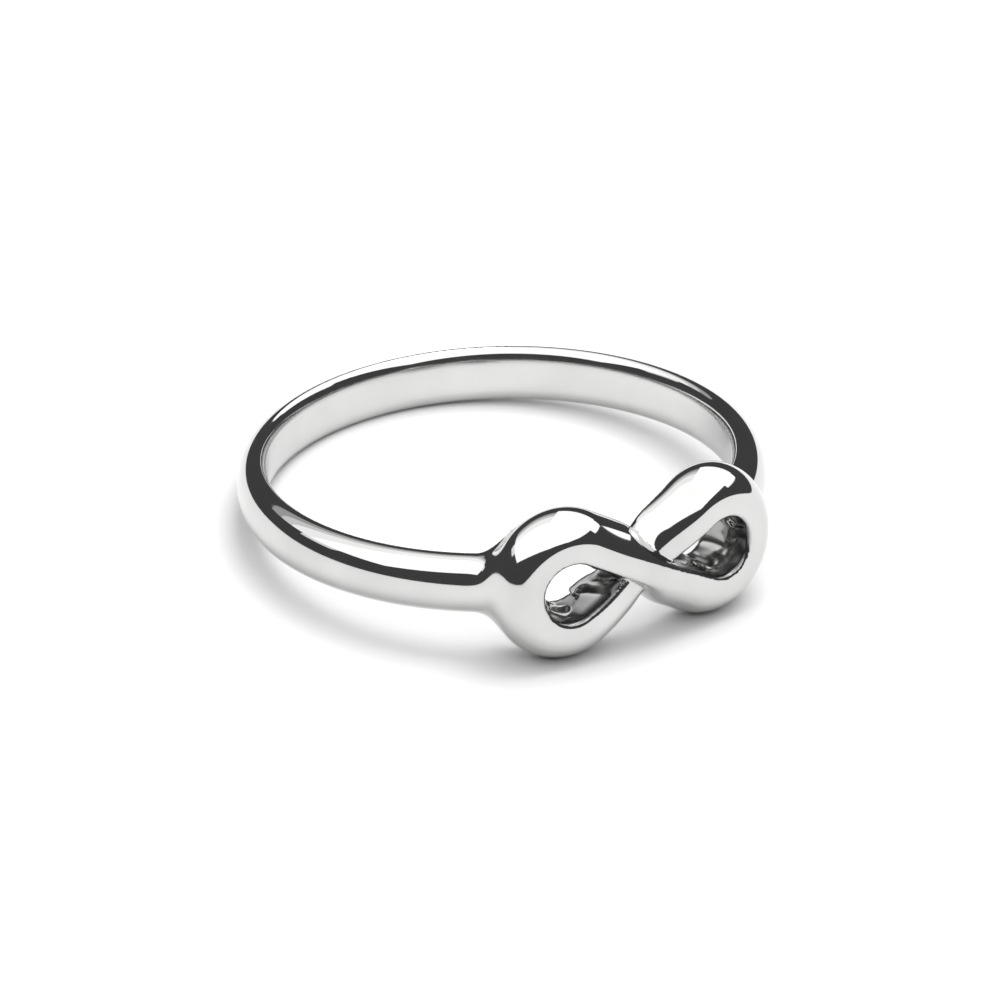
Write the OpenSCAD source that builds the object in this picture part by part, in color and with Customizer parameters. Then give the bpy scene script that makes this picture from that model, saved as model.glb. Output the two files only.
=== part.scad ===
// Infinity ring: a plain band whose two ends run into a figure-eight of open loops.
// It lies on its side as a loose ring does, on the lower edges of both loops and of the band's back.

/* [Shank] */
// Inside diameter, the finger bore
finger_d = 17.3; // [15:0.1:20]
// Width of the band, along the finger
band_w = 2.25; // [1.8:0.05:2.6]
// Thickness of the band at the back
back_t = 1.1; // [1.05:0.05:1.3]
// Thickness that the band has grown to at the head
front_t = 1.45; // [1.3:0.05:1.7]
// Radius of the band's two inner edges
inner_edge_r = 0.4; // [0.25:0.05:0.45]
// Radius of the band's two outer edges
outer_edge_r = 0.85; // [0.6:0.05:0.95]
// Radius of the dome across the band's outer face
dome_r = 1.45; // [1.3:0.05:3]

/* [Head] */
// Diameter of a loop, along the middle line of its strand
loop_d = 3.3; // [3:0.05:3.6]
// Distance between the middles of the two loops, along the head's face
loop_pitch = 6.7; // [6.4:0.05:7.4]
// Distance from the bore to the middle of the head's face
head_t = 1.8; // [1.6:0.05:2.4]
// Radius of the head's face across the finger, much flatter than the band
face_curve_r = 25; // [16:0.5:40]
// How far a strand's outer side bulges from the middle line
flank_half_w = 1.25; // [1:0.01:1.35]
// Radius of that bulge
flank_r = 1.4; // [1:0.02:1.8]
// Radius of the strand's front edge along its outer side
front_edge_r = 0.7; // [0.4:0.02:0.9]
// Angle that the front edge turns through before the bulge takes over
front_edge_turn = 31; // [20:1:60]
// Radius with which the outer side tucks in again towards the finger
tuck_r = 1.05; // [0.8:0.05:1.4]
// How wide the outer side still is at the bore, from the middle line
back_half_w = 0.75; // [0.6:0.05:0.9]
// Distance of the wall in a loop's opening from the middle line, at the face
hole_half_w = 0.4; // [0.3:0.02:0.5]
// Radius of that wall's front edge
hole_edge_r = 0.2; // [0.1:0.02:0.3]
// Slant of that wall, the opening narrowing towards the finger
hole_slant = 5; // [0:0.5:8]
// Distance from the crossing at which that wall starts to turn into an outer side
wall_start = 1.2; // [0.8:0.05:1.8]
// Distance from the crossing at which it has done so
wall_end = 0.1; // [0:0.05:0.5]
// How far the over strand stands up where the strands cross
over_rise = 0.15; // [0:0.05:0.3]
// How far the under strand dips there
under_dip = 0.35; // [0.2:0.05:0.6]

/* [Hidden] */
$fn = 96;

bore_r = finger_d / 2;

// The band's outside is turned about an axis nearer the head, so it thickens towards it
outer_r = bore_r + (back_t + front_t) / 2;
outer_shift = (front_t - back_t) / 2;
outer_edge_y = band_w / 2 - outer_edge_r;
outer_edge_x = outer_r - dome_r + sqrt(pow(dome_r - outer_edge_r, 2) - pow(outer_edge_y, 2));

// Share of the inner edges' rounding that is cut, just short of where it would touch the band's side
edge_share = 0.97;

// The head's back stands this far out from the bore, so the bore's wall is the band's alone. The
// under strand's back stands a little further out, so the two strands share no face.
over_root_r = bore_r + 0.05;
under_root_r = over_root_r + 0.04;

// The head's face is drawn unrolled, x along it and y along the finger
face_r = bore_r + head_t;
loop_r = loop_d / 2;
loop_x = loop_pitch / 2;

// The straight stretch through the crossing touches both loops' circles
cross_angle = asin(loop_r / loop_x);
cross_half = loop_x * cos(cross_angle);
strand_half = cross_half + loop_r * (90 + cross_angle) * PI / 180;

// The band's ends stop inside the strands, just short of their middle line
band_end = place(loop_x + loop_r - hole_half_w / 2, 0, head_t / 2);
band_end_angle = atan2(band_end[0], -band_end[1]);

// Steps along a strand's mesh, and round each arc of its section
path_steps = 48;
front_steps = 3;
flank_steps = 4;
tuck_steps = 2;

// Place and heading of the over strand's middle line, at distance s from the crossing
function loop_angle(s) = -90 - cross_angle + (s - cross_half) / loop_r * 180 / PI;
function path_point(s) =
    s < 0 ? -path_point(-s) :
    s < cross_half ? s * [cos(cross_angle), -sin(cross_angle)] :
    [loop_x, 0] + loop_r * [cos(loop_angle(s)), sin(loop_angle(s))];
function path_heading(s) = abs(s) < cross_half ? -cross_angle : loop_angle(abs(s)) + 90;

// A strand is lifted most at the crossing and not at all from where its loops begin
function lift_share(s) = abs(s) < cross_half ? pow(cos(90 * s / cross_half), 2) : 0;

// A strand's outer side is three arcs that run into each other: front edge, bulge and tuck
flank_depth = front_edge_r + (flank_r - front_edge_r) * cos(front_edge_turn);
flank_x = flank_half_w - flank_r;
front_x = flank_x + (flank_r - front_edge_r) * sin(front_edge_turn);
tuck_x = flank_half_w - tuck_r;
front_depth = front_edge_r * (1 - cos(front_edge_turn));

// Distance of each kind of side from the middle line, at a depth below the face
function arc_out(r, off) = sqrt(pow(r, 2) - pow(off, 2));
function outer_side(depth) =
    depth < front_depth ? front_x + arc_out(front_edge_r, front_edge_r - depth) :
    depth < flank_depth ? flank_x + arc_out(flank_r, flank_depth - depth) :
    tuck_x + arc_out(tuck_r, depth - flank_depth);
function hole_side(depth) =
    hole_half_w + depth * tan(hole_slant) -
    (depth < hole_edge_r ? hole_edge_r - arc_out(hole_edge_r, hole_edge_r - depth) : 0);

// Angle of the tuck that the section follows, and the depths below the face at which it has its
// points, the last one being the back
tuck_turn = 40;
depths = concat(
    [for (i = [0:front_steps]) front_edge_r * (1 - cos(front_edge_turn * i / front_steps))],
    [for (i = [1:flank_steps])
        flank_depth - flank_r * cos(front_edge_turn + (90 - front_edge_turn) * i / flank_steps)],
    [for (i = [1:tuck_steps]) flank_depth + tuck_r * sin(tuck_turn * i / tuck_steps)],
    [face_curve_r]);
back = len(depths) - 1;

// A strand's side faces a loop's opening on the left ahead of the crossing and on the right behind
// it. There it is the opening's wall, which turns softly into an outer side close to the crossing.
function outer_share(s, side) =
    let (t = min(1, max(0, (wall_start - abs(s)) / (wall_start - wall_end))))
    side * s <= 0 ? 1 : t * t * (3 - 2 * t);

// Rolls the unrolled face up about an axis of its own. Nothing lies deeper than the head's back.
function place(x, y, depth, root_r = over_root_r) =
    let (a = x / face_curve_r * 180 / PI,
         axis_y = face_curve_r - face_r,
         back_r = axis_y * cos(a) + sqrt(pow(root_r, 2) - pow(axis_y * sin(a), 2)),
         r = max(back_r, face_curve_r - depth))
    [r * sin(a), axis_y - r * cos(a), y];

// Point i of a strand's section on one side, 1 or -1, of the place p that lies at distance s
function side_point(p, s, lift, side, i) =
    let (across = side * [-sin(path_heading(s)), cos(path_heading(s))],
         share = outer_share(s, side),
         outer = i == back ? back_half_w : outer_side(depths[i]),
         hole = i == back ? hole_side(head_t) : hole_side(depths[i]),
         q = p + (share * outer + (1 - share) * hole) * across)
    place(q[0], q[1], depths[i] - lift * lift_share(s), lift > 0 ? over_root_r : under_root_r);

function strand_ring(s, lift) =
    let (p = path_point(s))
    concat(
        [for (i = [0:back]) side_point(p, s, lift, 1, i)],
        [for (i = [back:-1:0]) side_point(p, s, lift, -1, i)]);

function strand_rings(lift) =
    [for (i = [0:path_steps]) strand_ring(strand_half * (2 * i / path_steps - 1), lift)];

module strand(lift) {
    n = 2 * len(depths);
    sides = [for (i = [0:path_steps - 1], j = [0:n - 1])
        [i * n + j, i * n + (j + 1) % n, (i + 1) * n + (j + 1) % n, (i + 1) * n + j]];
    first_cap = [for (j = [n - 1:-1:0]) j];
    last_cap = [for (j = [0:n - 1]) path_steps * n + j];
    points = [for (ring = strand_rings(lift), p = ring) p];
    polyhedron(points, concat([first_cap, last_cap], sides), convexity = 6);
}

module figure_eight() {
    strand(over_rise);
    mirror([0, 0, 1]) strand(-under_dip);
}

// The band's section, from inside the bore to its domed outer face
module shank_outline() {
    dome_y = outer_edge_y * dome_r / (dome_r - outer_edge_r);
    translate([bore_r - 1, -band_w / 2]) square([outer_edge_x - bore_r + 1, band_w]);
    for (y = [-outer_edge_y, outer_edge_y]) translate([outer_edge_x, y]) circle(outer_edge_r);
    intersection() {
        translate([outer_r - dome_r, 0]) circle(dome_r);
        translate([outer_edge_x, -dome_y]) square([dome_r, 2 * dome_y]);
    }
}

// The hollow for the finger, flared out at each end to round the band's inner edges
module bore_outline() {
    edge_y = band_w / 2 - inner_edge_r;
    difference() {
        translate([0, -band_w]) square([bore_r + edge_share * inner_edge_r, 2 * band_w]);
        translate([bore_r, -edge_y]) square([inner_edge_r, 2 * edge_y]);
        for (y = [-edge_y, edge_y]) translate([bore_r + inner_edge_r, y]) circle(inner_edge_r);
    }
}

module shank() {
    difference() {
        translate([0, -outer_shift, 0])
            rotate_extrude(angle = 360 - 2 * band_end_angle, start = band_end_angle - 90)
                shank_outline();
        rotate_extrude() bore_outline();
    }
}

// How the ring lies: turned by tilt about x, its head up, until the loops and the band's back both
// touch the surface. A point [y, z] of the upright ring then comes to these.
function turned_y(p, tilt) = p[1] * cos(tilt) + p[2] * sin(tilt);
function turned_z(p, tilt) = p[2] * cos(tilt) - p[1] * sin(tilt);

head_points = [for (ring = strand_rings(over_rise), p = ring) p];
function head_low(tilt) = min([for (p = head_points) turned_z(p, tilt)]);
function back_low(tilt) =
    turned_z([0, outer_edge_x - outer_shift, -outer_edge_y], tilt) - outer_edge_r;
function rest_tilt(low = 0, high = 20, halvings = 16) =
    let (mid = (low + high) / 2)
    halvings == 0 ? mid :
    head_low(mid) < back_low(mid) ? rest_tilt(mid, high, halvings - 1) :
    rest_tilt(low, mid, halvings - 1);

tilt = rest_tilt();
front_y = min([for (p = head_points) turned_y(p, tilt)]);
back_y = (outer_r - dome_r - outer_shift) * cos(tilt) + dome_r;

module infinity_ring() {
    color("silver")
        translate([0, -(front_y + back_y) / 2, -back_low(tilt)])
            rotate([-tilt, 0, 0]) {
                shank();
                figure_eight();
            }
}

infinity_ring();
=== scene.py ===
"""Looks of the infinity ring: a polished skin with soft joins in place of the CAD solid, a pale
floor, studio light and the camera.

The skin is the zero level of one distance field, worked out in the upright ring's own axes: the
finger's axis along z, the head towards -y. Lengths there are millimetres, as in the ring's source.
Across a strand, distances count from its middle line. Depths count from the head's face inwards.
"""

import math

import bpy
import numpy as np
from mathutils import Matrix, Vector


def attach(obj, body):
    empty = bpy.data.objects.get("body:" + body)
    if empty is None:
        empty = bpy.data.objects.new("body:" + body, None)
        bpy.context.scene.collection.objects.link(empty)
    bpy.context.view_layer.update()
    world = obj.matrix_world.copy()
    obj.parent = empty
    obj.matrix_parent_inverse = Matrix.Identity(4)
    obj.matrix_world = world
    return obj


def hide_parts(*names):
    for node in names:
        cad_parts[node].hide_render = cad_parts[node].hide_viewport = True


MM = 0.001

# Band
FINGER_D = 17.3
BAND_W = 2.25
BACK_T = 1.1
FRONT_T = 1.45
# The inner edges are rounded further down the bore's wall than across the band's side
INNER_EDGE_R = 0.42
INNER_EDGE_DEPTH = 0.85
OUTER_EDGE_R = 0.85
DOME_R = 1.45
# The band ends in the loops' outer strands, at this angle off the head's middle
BAND_END = math.radians(27)

# Head
LOOP_D = 3.3
LOOP_PITCH = 6.7
HEAD_T = 1.8
FACE_CURVE_R = 25.0
# How far the over strand stands up at the crossing, and the under strand dips there
OVER_RISE = 0.15
UNDER_DIP = 0.35
# Each strand runs on round both loops to this angle, past where it meets the other one
ARC_END = math.radians(60)

# A strand's outer side in three arcs: its front edge, its bulging flank, and where it tucks in
# towards the finger. The front edge turns through EDGE_TURN before the flank takes over, the tuck
# through TUCK_TURN before it goes on straight.
FLANK_HALF_W = 1.25
FLANK_R = 1.4
FRONT_EDGE_R = 0.7
EDGE_TURN = math.radians(31)
TUCK_R = 1.05
TUCK_TURN = math.radians(40)

# A strand's side in a loop's hole: a shallow bevel falls from its rim to a steep wall. The rim lies
# a little nearer the middle line than the wall in the ring's source, and the wall a little further.
HOLE_HALF_W = 0.4
HOLE_RIM_INSET = 0.1
HOLE_RIM_R = 0.05
HOLE_BEVEL_SLANT = math.radians(22)
HOLE_BEVEL_EDGE_R = 0.1
HOLE_WALL_OUTSET = 0.08
HOLE_SLANT = math.radians(5)
# The over strand's rim moves in further towards the crossing, up to this distance from it
OVER_RIM_INSET = 0.19
OVER_RIM_FULL = 0.8
# A side is all hole's wall at the first distance from the crossing, measured on the hole's side of
# it, and all flank at the second one, which lies on the outward side
HOLE_SIDE_START = 1.2
HOLE_SIDE_END = -1.5

# The raw skin left in the holes by casting: how many flat patches there are in each hole, how
# steeply they tilt, how high they reach, and how sharply one gives way to the next
FACET_COUNT = 34
FACET_TILT = 0.24
FACET_REACH = 0.14
FACET_CRISPNESS = 14
FACET_DICE = 3
# Where the patches' middles lie: nearest and farthest off the head's middle, from this far inside
# the bore's surface out to the face, and up to this high or low
FACET_NEAREST = 0.8
FACET_FARTHEST = 5.0
FACET_PAST_BORE = 0.4
FACET_HALF_H = 1.6

# A hole's marks set in between these two distances from the crossing
HOLE_MARKS_FROM = 0.8
HOLE_MARKS_FULL = 1.2
# The raw skin sets in between these distances across a strand and these depths, and it ends this
# far inside the bore's surface, short of the band's back
CAST_ACROSS_FROM = 0.42
CAST_ACROSS_FULL = 0.52
CAST_DEPTH_FROM = 0.12
CAST_DEPTH_FULL = 0.45
CAST_PAST_BORE = 2
# A band of painted shade behind the holes' rims does so too, and fades between two greater depths
RIM_SHADE_ACROSS_FROM = 0.32
RIM_SHADE_ACROSS_FULL = 0.42
RIM_SHADE_DEPTH_FROM = 0.02
RIM_SHADE_DEPTH_FULL = 0.1
RIM_SHADE_FADE_FROM = 0.4
RIM_SHADE_FADE_END = 0.75
# The bore's satin ends between these distances off its surface
SATIN_FADE_FROM = 0.02
SATIN_FADE_END = 0.15

# Soft joins and edges between the polished pieces of metal
SHOULDER_FILLET = 0.9
CROSSING_FILLET = 0.05
HOLE_TIP_FILLET = 0.1
STRAND_ROOT_R = 0.22
BORE_EDGE_R = 0.06
# The holes' tips lie within the first height of the head's middle plane, the crossing's own joins
# beyond the second. Both kinds fade out along the head.
HOLE_TIP_H = 0.3
CROSSING_H = 0.8
JOIN_FADE_FROM = 1.7
JOIN_FADE_END = 2.4

# How the ring lies: tilted about x, then set down on the floor
REST_TILT = math.radians(5.681)
REST_Y = 0.434304
REST_Z = 1.99805

# The mesh: the spacing of the grid that it starts from, how far that grid reaches past the ring,
# and how many times and how far each vertex is drawn towards its neighbours
CELL = 0.1
GRID_MARGIN = (0.3, 0.4, 0.2)
EVEN_OUT_ROUNDS = 4
EVEN_OUT_PULL = 0.6
GRADIENT_STEP = 0.003
LEAST_SLOPE_SQUARED = 0.05
JUST_INSIDE = -1e-6

# Silver: clouds in its tint and gloss too faint to see as spots, and what the marks do to both
CLOUD_SCALE = 420
CLOUD_DETAIL = 4
TINT_DARK = (0.35, (0.58, 0.58, 0.575, 1))
TINT_LIGHT = (0.65, (0.63, 0.63, 0.625, 1))
# The second of these tints is painted shade: a dark band just behind the holes' rims, standing in for
# the dark reflections there
MARK_TINTS = (("as_cast", (0.38, 0.38, 0.375, 1)), ("rim_painted_shade", (0.13, 0.13, 0.128, 1)))
GLOSS_CLOUD = (0.3, 0.7)
GLOSS_ROUGHNESS = (0.035, 0.07)
MARK_ROUGHNESS = (("as_cast", 0.14), ("rim_painted_shade", 0.2), ("satin", 0.13))

FLOOR_SIZE = 2.4
FLOOR_COLOUR = (0.76, 0.76, 0.76, 1)
FLOOR_ROUGHNESS = 0.9
FLOOR_SHEEN = 0.1

# The white cloth over the ring in parts, each with its left, right, near and far edge, its
# radiance and its height. Edges count in that height, as seen from the camera's side.
SCRIM_HEIGHT = 0.45
CORE_HEIGHT = 0.43
STUDIO_TURN = math.radians(-35)
SCRIMS = (
    ("scrim_middle", -1.7, 1.3, -1.25, 0.35, 1.65, SCRIM_HEIGHT),
    ("scrim_middle_left", -1.7, -0.1, 0.35, 0.8, 1.35, SCRIM_HEIGHT),
    ("scrim_middle_right", -0.1, 1.3, 0.35, 0.8, 1.65, SCRIM_HEIGHT),
    ("scrim_core", -0.1, 0.6, -0.05, 0.65, 4.0, CORE_HEIGHT),
    ("scrim_left", -2.2, -1.7, -0.3, 0.5, 1.05, SCRIM_HEIGHT),
    ("scrim_far_left", -1.7, -0.1, 0.8, 1.1, 0.85, SCRIM_HEIGHT),
    ("scrim_farthest_left", -1.7, -0.1, 1.1, 1.45, 0.42, SCRIM_HEIGHT),
    ("scrim_far_right", -0.1, 1.3, 0.8, 1.75, 1.65, SCRIM_HEIGHT),
    ("scrim_right", 1.3, 1.75, 0.2, 1.6, 1.65, SCRIM_HEIGHT),
)
STUDIO_COLOUR = (0.07, 0.07, 0.07, 1)

# The camera: where it looks from in the upright ring's own axes, and its lens
CAMERA_ELEVATION = math.radians(25.57)
CAMERA_SIDE = math.radians(32.4)
CAMERA_ROLL = math.radians(-1.66)
CAMERA_DISTANCE = 0.3
CAMERA_SENSOR = 36
CAMERA_LENS = 288.2
CAMERA_SHIFT_X = 0.0011
CAMERA_SHIFT_Y = -0.0262

BORE_R = FINGER_D / 2
OUTER_R = BORE_R + (BACK_T + FRONT_T) / 2
OUTER_SHIFT = (FRONT_T - BACK_T) / 2
EDGE_Z = BAND_W / 2 - OUTER_EDGE_R
DOME_X = OUTER_R - DOME_R
EDGE_X = DOME_X + math.sqrt((DOME_R - OUTER_EDGE_R) ** 2 - EDGE_Z**2)
FACE_R = BORE_R + HEAD_T
FACE_AXIS_Y = FACE_CURVE_R - FACE_R
LOOP_R = LOOP_D / 2
LOOP_X = LOOP_PITCH / 2
CROSS_ANGLE = math.asin(LOOP_R / LOOP_X)
CROSS_HALF = LOOP_X * math.cos(CROSS_ANGLE)
FLANK_X = FLANK_HALF_W - FLANK_R
FLANK_DEPTH = FRONT_EDGE_R + (FLANK_R - FRONT_EDGE_R) * math.cos(EDGE_TURN)
FRONT_X = FLANK_X + (FLANK_R - FRONT_EDGE_R) * math.sin(EDGE_TURN)
TUCK_X = FLANK_HALF_W - TUCK_R


def rounded(a, b, r):
    """Two faces that meet in an outward edge of radius r, from the distance outside each."""
    a, b = a + r, b + r
    outside = np.hypot(np.maximum(a, 0), np.maximum(b, 0))
    return np.minimum(np.maximum(a, b), 0) + outside - r


def filleted(a, b, r):
    """Two bodies run together, with a hollow of about radius r in the corner between them."""
    near = np.maximum(r - np.abs(a - b), 0) / np.maximum(r, 1e-6)
    return np.minimum(a, b) - near * near * r / 4


def ramp(value, start, end):
    """0 at start and 1 at end, with soft ends."""
    t = np.clip((value - start) / (end - start), 0, 1)
    return t * t * (3 - 2 * t)


def band(x, y, z):
    """The D-section band. Its outside turns about an axis nearer the head, so it thickens there."""
    height = np.abs(z)
    rho = np.hypot(x, y + OUTER_SHIFT)
    side = height - BAND_W / 2
    edge = np.hypot(rho - EDGE_X, height - EDGE_Z) - OUTER_EDGE_R
    dome = np.hypot(rho - DOME_X, height) - DOME_R
    on_dome = height * (EDGE_X - DOME_X) < EDGE_Z * (rho - DOME_X)
    outer = np.where(rho < EDGE_X, side, np.where(on_dome, dome, edge))

    # The squeezed distance serves the inner edges alone, and gives way to the true one past them
    bore = BORE_R - np.hypot(x, y)
    squeezed = (outer + INNER_EDGE_DEPTH) * INNER_EDGE_R / INNER_EDGE_DEPTH - INNER_EDGE_R
    true_share = ramp(-bore, INNER_EDGE_R, 2 * INNER_EDGE_R)
    section = (1 - true_share) * rounded(squeezed, bore, INNER_EDGE_R) + true_share * outer

    past_end = np.hypot(x, y) * np.sin(BAND_END - np.arctan2(np.abs(x), -y))
    return rounded(section, past_end, STRAND_ROOT_R)


def arc_gap(x, y):
    """Distance in the face from the part of the right loop's circle that the over strand follows."""
    start = -math.pi / 2 - CROSS_ANGLE
    middle = (ARC_END + start) / 2
    half = (ARC_END - start) / 2
    turn = (np.arctan2(y, x - LOOP_X) - middle + math.pi) % (2 * math.pi) - math.pi
    turn = middle + np.clip(turn, -half, half)
    return np.hypot(x - LOOP_X - LOOP_R * np.cos(turn), y - LOOP_R * np.sin(turn))


def outer_side(across, out):
    """A strand's face and outer side. out is the height over the face."""
    edge = np.hypot(across - FRONT_X, out + FRONT_EDGE_R) - FRONT_EDGE_R
    front = np.where(across < FRONT_X, out, edge)
    flank = np.hypot(across - FLANK_X, out + FLANK_DEPTH) - FLANK_R

    tuck_across = across - TUCK_X
    below = -out - FLANK_DEPTH
    straight = tuck_across * math.cos(TUCK_TURN) + below * math.sin(TUCK_TURN)
    past_arc = below * math.cos(TUCK_TURN) > tuck_across * math.sin(TUCK_TURN)
    tuck = np.where(past_arc, straight, np.hypot(tuck_across, below)) - TUCK_R

    on_flank = (across - FLANK_X) * math.cos(EDGE_TURN) > (out + FLANK_DEPTH) * math.sin(EDGE_TURN)
    return np.where(out < -FLANK_DEPTH, tuck, np.where(on_flank, flank, front))


def hole_side(across, out, rim_inset):
    """A strand's face and its side in a hole: rim, bevel and wall."""
    past_wall = across - HOLE_HALF_W - HOLE_WALL_OUTSET
    wall = past_wall * math.cos(HOLE_SLANT) + out * math.sin(HOLE_SLANT)
    rim = HOLE_HALF_W - rim_inset
    bevel = (across - rim) * math.sin(HOLE_BEVEL_SLANT) + out * math.cos(HOLE_BEVEL_SLANT)
    return rounded(wall, rounded(bevel, out, HOLE_RIM_R), HOLE_BEVEL_EDGE_R)


def middle_line(x, y):
    """Where a place in the unrolled face lies by a strand's middle line: how far along its straight
    stretch from the crossing, how far away from it, and how far from the crossing on the side of a
    hole, which is below 0 on the outward side."""
    along = np.clip(x * math.cos(CROSS_ANGLE) - y * math.sin(CROSS_ANGLE), -CROSS_HALF, CROSS_HALF)
    straight_gap = np.hypot(x - along * math.cos(CROSS_ANGLE), y + along * math.sin(CROSS_ANGLE))
    loop_gap = np.minimum(arc_gap(x, y), arc_gap(-x, -y))
    towards_hole = np.sign(x * math.sin(CROSS_ANGLE) + y * math.cos(CROSS_ANGLE)) * along
    in_loop = np.where(np.hypot(np.abs(x) - LOOP_X, y) < LOOP_R, CROSS_HALF, -CROSS_HALF)
    towards_hole = np.where(straight_gap < loop_gap, towards_hole, in_loop)
    return along, np.minimum(straight_gap, loop_gap), towards_hole


def strand(x, y, out, lift, crossing_inset):
    """One strand's front and sides. x and y lie in the unrolled face, out is the height over it."""
    along, across, towards_hole = middle_line(x, y)
    out = out - lift * np.cos(along / CROSS_HALF * math.pi / 2) ** 2
    near_crossing = ramp(np.abs(along), CROSS_HALF, OVER_RIM_FULL)
    rim_inset = HOLE_RIM_INSET + (crossing_inset - HOLE_RIM_INSET) * near_crossing
    outer = ramp(towards_hole, HOLE_SIDE_START, HOLE_SIDE_END)
    return outer * outer_side(across, out) + (1 - outer) * hole_side(across, out, rim_inset)


def cast_facets(x, y, z):
    """Height of a raw casting's skin: small flat patches, each tilted its own way."""
    dice = np.random.default_rng(FACET_DICE)
    total = 0
    weights = 1e-9
    for side in (-1, 1):
        for _ in range(FACET_COUNT):
            seed = np.array([
                side * dice.uniform(FACET_NEAREST, FACET_FARTHEST),
                -BORE_R - dice.uniform(-FACET_PAST_BORE, HEAD_T),
                dice.uniform(-FACET_HALF_H, FACET_HALF_H)])
            tilt = dice.normal(size=3) * FACET_TILT
            dx, dy, dz = x - seed[0], y - seed[1], z - seed[2]
            weight = np.exp(-FACET_CRISPNESS * (dx * dx + dy * dy + dz * dz))
            total = total + weight * (tilt[0] * dx + tilt[1] * dy + tilt[2] * dz)
            weights = weights + weight
    return FACET_REACH * np.tanh(total / weights / FACET_REACH)


def hole_share(x, y, across_from, across_full):
    """0 on the strands up to the first distance across them, and 1 in the holes past the second."""
    shares = []
    for flip in (1, -1):
        _, across, towards_hole = middle_line(x, flip * y)
        marked = ramp(towards_hole, HOLE_MARKS_FROM, HOLE_MARKS_FULL)
        shares.append(ramp(across, across_from, across_full) * marked)
    return np.minimum(*shares)


def cast_share(x, y, out):
    """1 on the walls of the holes, which are left as cast behind their polished rims."""
    in_hole = hole_share(x, y, CAST_ACROSS_FROM, CAST_ACROSS_FULL)
    behind_face = ramp(out, -CAST_DEPTH_FROM, -CAST_DEPTH_FULL)
    return in_hole * behind_face * (out > -HEAD_T - CAST_PAST_BORE)


def rim_painted_shade_share(x, y, out):
    """1 close behind the rims of the holes, where a dark band of painted shade stands in for the dark
    reflections of the rims' inner edges.
    """
    in_hole = hole_share(x, y, RIM_SHADE_ACROSS_FROM, RIM_SHADE_ACROSS_FULL)
    behind_face = ramp(out, -RIM_SHADE_DEPTH_FROM, -RIM_SHADE_DEPTH_FULL)
    return in_hole * behind_face * ramp(out, -RIM_SHADE_FADE_END, -RIM_SHADE_FADE_FROM)


def unrolled(x, y):
    """Place along the unrolled face, and height over it."""
    turn = np.arctan2(x, FACE_AXIS_Y - y)
    return turn * FACE_CURVE_R, np.hypot(x, FACE_AXIS_Y - y) - FACE_CURVE_R


def head(x, y, z):
    """The figure-eight: the under strand is the over strand mirrored. The finger ends both."""
    face_x, out = unrolled(x, y)
    over = strand(face_x, z, out, OVER_RISE, OVER_RIM_INSET)
    under = strand(face_x, -z, out, -UNDER_DIP, HOLE_RIM_INSET)
    at_crossing = ramp(np.abs(z), HOLE_TIP_H, CROSSING_H)
    fillet = HOLE_TIP_FILLET + (CROSSING_FILLET - HOLE_TIP_FILLET) * at_crossing
    fillet = fillet * ramp(np.abs(face_x), JOIN_FADE_END, JOIN_FADE_FROM)
    front = filleted(over, under, fillet)

    share = cast_share(face_x, z, out)
    raw = share > 0
    if np.any(raw):
        front[raw] -= share[raw] * cast_facets(x[raw], y[raw], z[raw])

    back = np.maximum(BORE_R - np.hypot(x, y), y + BORE_R / 2)
    return rounded(front, back, STRAND_ROOT_R)


def ring_field(points):
    """About the distance outside the ring, below 0 in the metal."""
    x, y, z = points[..., 0], points[..., 1], points[..., 2]
    whole = filleted(band(x, y, z), head(x, y, z), SHOULDER_FILLET)
    return rounded(whole, BORE_R - np.hypot(x, y), BORE_EDGE_R)


def gradient(points):
    parts = []
    for step in np.eye(3) * GRADIENT_STEP:
        parts.append((ring_field(points + step) - ring_field(points - step)) / (2 * GRADIENT_STEP))
    return np.stack(parts, axis=-1)


def settle(points, rounds):
    """Moves points along the gradient onto the zero level."""
    for _ in range(rounds):
        slope = gradient(points)
        square = np.maximum((slope**2).sum(-1), LEAST_SLOPE_SQUARED)
        points = points - slope * (ring_field(points) / square)[:, None]
    return points


def grid_field(low, counts):
    """The field at every grid point, worked out in slabs."""
    axes = [low[i] + CELL * np.arange(counts[i]) for i in range(3)]
    field = np.empty(counts)
    for i, x in enumerate(axes[0]):
        y, z = np.meshgrid(axes[1], axes[2], indexing="ij")
        field[i] = ring_field(np.stack([np.full_like(y, x), y, z], axis=-1))
    return field


def join_diagonals(field):
    """Takes in grid points until no square of the grid has just two opposite corners inside, so no
    two parts of the surface share an edge."""
    unsure = True
    while unsure:
        unsure = False
        for u, v in ((0, 1), (1, 2), (0, 2)):
            grid = np.moveaxis(field, (u, v), (0, 1))
            a, b, c, d = grid[:-1, :-1], grid[1:, :-1], grid[:-1, 1:], grid[1:, 1:]
            for first, second, third, fourth in ((a, d, b, c), (b, c, a, d)):
                split = (first < 0) & (second < 0) & (third >= 0) & (fourth >= 0)
                third[split] = JUST_INSIDE
                unsure |= split.any()


def net_vertices(field, low, place):
    """The middle of the points where the surface crosses the edges of each cell."""
    total = np.zeros((len(place), 3))
    crossings = np.zeros(len(place))
    for start in ((i, j, k) for i in (0, 1) for j in (0, 1) for k in (0, 1)):
        for axis in range(3):
            if start[axis]:
                continue
            end = list(start)
            end[axis] = 1
            a = field[tuple((place + start).T)]
            b = field[tuple((place + end).T)]
            crossed = (a < 0) != (b < 0)
            t = np.where(crossed, a / np.where(crossed, a - b, 1), 0)
            point = place + np.array(start) + t[:, None] * np.eye(3)[axis]
            total += point * crossed[:, None]
            crossings += crossed
    return low + CELL * total / crossings[:, None]


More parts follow.
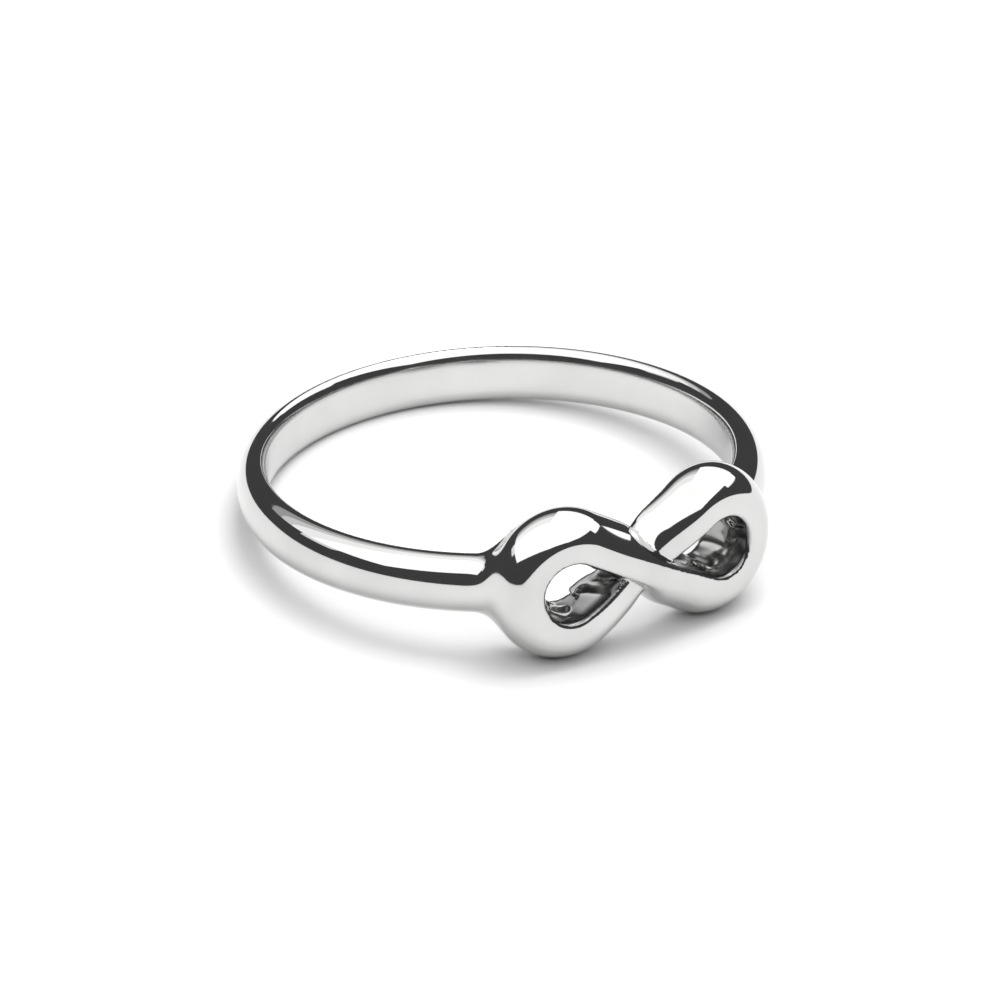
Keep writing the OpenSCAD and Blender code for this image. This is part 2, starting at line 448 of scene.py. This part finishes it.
def net_faces(inside, number):
    """One four-sided face for each edge of the grid that the surface crosses."""
    faces = []
    for axis in range(3):
        u, v = (axis + 1) % 3, (axis + 2) % 3
        first = inside.take(range(inside.shape[axis] - 1), axis)
        second = inside.take(range(1, inside.shape[axis]), axis)
        edges = np.argwhere(first != second)
        turned = first[tuple(edges.T)]
        around = []
        for du, dv in ((-1, -1), (0, -1), (0, 0), (-1, 0)):
            cell = edges.copy()
            cell[:, u] += du
            cell[:, v] += dv
            around.append(number[tuple(cell.T)])
        quad = np.stack(around, axis=-1)
        quad[~turned] = quad[~turned][:, ::-1]
        faces.append(quad)
    return np.concatenate(faces)


def surface_net(field, low):
    """One vertex in each cell that the surface crosses, and faces between them."""
    inside = field < 0
    cells = tuple(n - 1 for n in field.shape)
    count = np.zeros(cells, dtype=np.int8)
    for corner in ((i, j, k) for i in (0, 1) for j in (0, 1) for k in (0, 1)):
        count += inside[tuple(slice(c, c + n) for c, n in zip(corner, cells))]
    place = np.argwhere((count > 0) & (count < 8))
    number = np.full(cells, -1)
    number[tuple(place.T)] = np.arange(len(place))
    return net_vertices(field, low, place), net_faces(inside, number)


def even_out(vertices, faces):
    """Draws each vertex towards its neighbours and back onto the surface, so the faces come out even."""
    edges = np.concatenate([faces[:, [i, (i + 1) % 4]] for i in range(4)])
    for _ in range(EVEN_OUT_ROUNDS):
        total = np.zeros_like(vertices)
        np.add.at(total, edges[:, 0], vertices[edges[:, 1]])
        number = np.bincount(edges[:, 0], minlength=len(vertices))
        vertices = vertices + EVEN_OUT_PULL * (total / number[:, None] - vertices)
        vertices = settle(vertices, 1)
    return settle(vertices, 2)


def mark(mesh, name, values):
    """Keeps a value of 0 to 1 at each vertex for the material."""
    attribute = mesh.attributes.new(name, "FLOAT", "POINT")
    attribute.data.foreach_set("value", values.astype(np.float32))


def lie_down():
    """The turn from the upright ring to the ring at rest."""
    return Matrix.Rotation(-REST_TILT, 3, "X")


def build_ring():
    reach = np.array([OUTER_R, FACE_R, LOOP_R + FLANK_HALF_W]) + GRID_MARGIN
    low = -reach
    counts = tuple(int(n) for n in np.ceil(2 * reach / CELL) + 1)
    field = grid_field(low, counts)
    join_diagonals(field)
    vertices, faces = surface_net(field, low)
    vertices = even_out(vertices, faces)
    normals = gradient(vertices)
    normals /= np.linalg.norm(normals, axis=-1)[:, None]

    turn = np.array(lie_down())
    placed = (vertices @ turn.T + [0, REST_Y, REST_Z]) * MM
    mesh = bpy.data.meshes.new("infinity_ring_skin")
    mesh.from_pydata(placed.tolist(), [], faces.tolist())
    mesh.shade_smooth()
    x, y, z = vertices.T
    face_x, out = unrolled(x, y)
    mark(mesh, "as_cast", cast_share(face_x, z, out))
    # A band of painted shade just behind the holes' rims, kept for the material to darken
    mark(mesh, "rim_painted_shade", rim_painted_shade_share(face_x, z, out))
    mark(mesh, "satin", ramp(np.hypot(x, y) - BORE_R, SATIN_FADE_END, SATIN_FADE_FROM))
    mesh.normals_split_custom_set_from_vertices((normals @ turn.T).tolist())
    ring = bpy.data.objects.new("infinity_ring_skin", mesh)
    bpy.context.scene.collection.objects.link(ring)
    ring.data.materials.append(polished_silver())
    print("ring skin:", len(vertices), "vertices", len(faces), "faces")
    return ring


def new_material(name):
    material = bpy.data.materials.new(name)
    material.use_nodes = True
    return material


def mark_socket(nodes, name):
    """The value that the mesh keeps under this name."""
    node = nodes.new("ShaderNodeAttribute")
    node.attribute_name = name
    return node.outputs["Fac"]


def silver_tint(nodes, links, cloud):
    tint = nodes.new("ShaderNodeValToRGB")
    for stop, (position, colour) in zip(tint.color_ramp.elements, (TINT_DARK, TINT_LIGHT)):
        stop.position = position
        stop.color = colour
    links.new(cloud, tint.inputs["Fac"])
    colour = tint.outputs["Color"]
    for name, darker in MARK_TINTS:
        marked = mark_socket(nodes, name)
        mix = nodes.new("ShaderNodeMix")
        mix.data_type = "RGBA"
        mix.inputs["B"].default_value = darker
        links.new(marked, mix.inputs["Factor"])
        links.new(colour, mix.inputs["A"])
        colour = mix.outputs["Result"]
    return colour


def silver_roughness(nodes, links, cloud):
    gloss = nodes.new("ShaderNodeMapRange")
    gloss.inputs["From Min"].default_value, gloss.inputs["From Max"].default_value = GLOSS_CLOUD
    gloss.inputs["To Min"].default_value, gloss.inputs["To Max"].default_value = GLOSS_ROUGHNESS
    links.new(cloud, gloss.inputs["Value"])
    roughness = gloss.outputs["Result"]
    for name, extra in MARK_ROUGHNESS:
        marked = mark_socket(nodes, name)
        rough = nodes.new("ShaderNodeMath")
        rough.operation = "MULTIPLY_ADD"
        rough.inputs[1].default_value = extra
        links.new(marked, rough.inputs[0])
        links.new(roughness, rough.inputs[2])
        roughness = rough.outputs["Value"]
    return roughness


def polished_silver():
    material = new_material("polished_silver")
    nodes, links = material.node_tree.nodes, material.node_tree.links
    shader = nodes["Principled BSDF"]
    shader.inputs["Metallic"].default_value = 1.0
    where = nodes.new("ShaderNodeTexCoord")
    cloud = nodes.new("ShaderNodeTexNoise")
    cloud.inputs["Scale"].default_value = CLOUD_SCALE
    cloud.inputs["Detail"].default_value = CLOUD_DETAIL
    links.new(where.outputs["Object"], cloud.inputs["Vector"])
    links.new(silver_tint(nodes, links, cloud.outputs["Fac"]), shader.inputs["Base Color"])
    links.new(silver_roughness(nodes, links, cloud.outputs["Fac"]), shader.inputs["Roughness"])
    return material


def build_floor():
    bpy.ops.mesh.primitive_plane_add(size=FLOOR_SIZE)
    floor = bpy.context.object
    floor.name = "floor"
    material = new_material("white_paper")
    shader = material.node_tree.nodes["Principled BSDF"]
    shader.inputs["Roughness"].default_value = FLOOR_ROUGHNESS
    shader.inputs["Specular IOR Level"].default_value = FLOOR_SHEEN
    shader.inputs["Base Color"].default_value = FLOOR_COLOUR
    floor.data.materials.append(material)


def hang_scrim(name, left, right, near, far, radiance, height):
    light = bpy.data.lights.new(name, "AREA")
    light.shape = "RECTANGLE"
    light.size = (right - left) * height
    light.size_y = (far - near) * height
    light.energy = radiance * math.pi * light.size * light.size_y
    lamp = bpy.data.objects.new(name, light)
    middle = Vector(((left + right) / 2, (near + far) / 2, 1)) * height
    lamp.location = Matrix.Rotation(STUDIO_TURN, 3, "Z") @ middle
    lamp.rotation_euler = (0, 0, STUDIO_TURN)
    bpy.context.scene.collection.objects.link(lamp)


def build_light():
    world = bpy.data.worlds.new("studio")
    bpy.context.scene.world = world
    world.use_nodes = True
    world.node_tree.nodes["Background"].inputs["Color"].default_value = STUDIO_COLOUR
    for part in SCRIMS:
        hang_scrim(*part)


def build_camera():
    """The camera looks along a line fixed in the upright ring's own axes."""
    back = lie_down() @ Vector((
        -math.cos(CAMERA_ELEVATION) * math.sin(CAMERA_SIDE),
        -math.cos(CAMERA_ELEVATION) * math.cos(CAMERA_SIDE),
        math.sin(CAMERA_ELEVATION)))
    right = (lie_down() @ Vector((0, 0, 1))).cross(back).normalized()
    up = back.cross(right)
    rolled_right = math.cos(CAMERA_ROLL) * right + math.sin(CAMERA_ROLL) * up
    rolled_up = math.cos(CAMERA_ROLL) * up - math.sin(CAMERA_ROLL) * right
    data = bpy.data.cameras.new("camera")
    data.sensor_width = CAMERA_SENSOR
    data.lens = CAMERA_LENS
    data.shift_x = CAMERA_SHIFT_X
    data.shift_y = CAMERA_SHIFT_Y
    camera = bpy.data.objects.new("camera", data)
    camera.matrix_world = Matrix((rolled_right, rolled_up, back)).transposed().to_4x4()
    camera.location = Vector((0, REST_Y, REST_Z)) * MM + back * CAMERA_DISTANCE
    bpy.context.scene.collection.objects.link(camera)
    bpy.context.scene.camera = camera


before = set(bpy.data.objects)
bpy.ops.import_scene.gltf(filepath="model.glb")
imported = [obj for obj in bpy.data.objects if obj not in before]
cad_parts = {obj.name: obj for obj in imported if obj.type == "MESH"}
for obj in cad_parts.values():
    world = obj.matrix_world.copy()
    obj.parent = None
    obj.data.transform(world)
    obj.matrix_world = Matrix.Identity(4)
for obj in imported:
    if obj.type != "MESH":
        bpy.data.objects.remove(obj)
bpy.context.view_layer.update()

ring = build_ring()
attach(ring, "root")
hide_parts("infinity_ring")

build_floor()
build_light()
build_camera()
bpy.context.scene.view_settings.view_transform = "Standard"
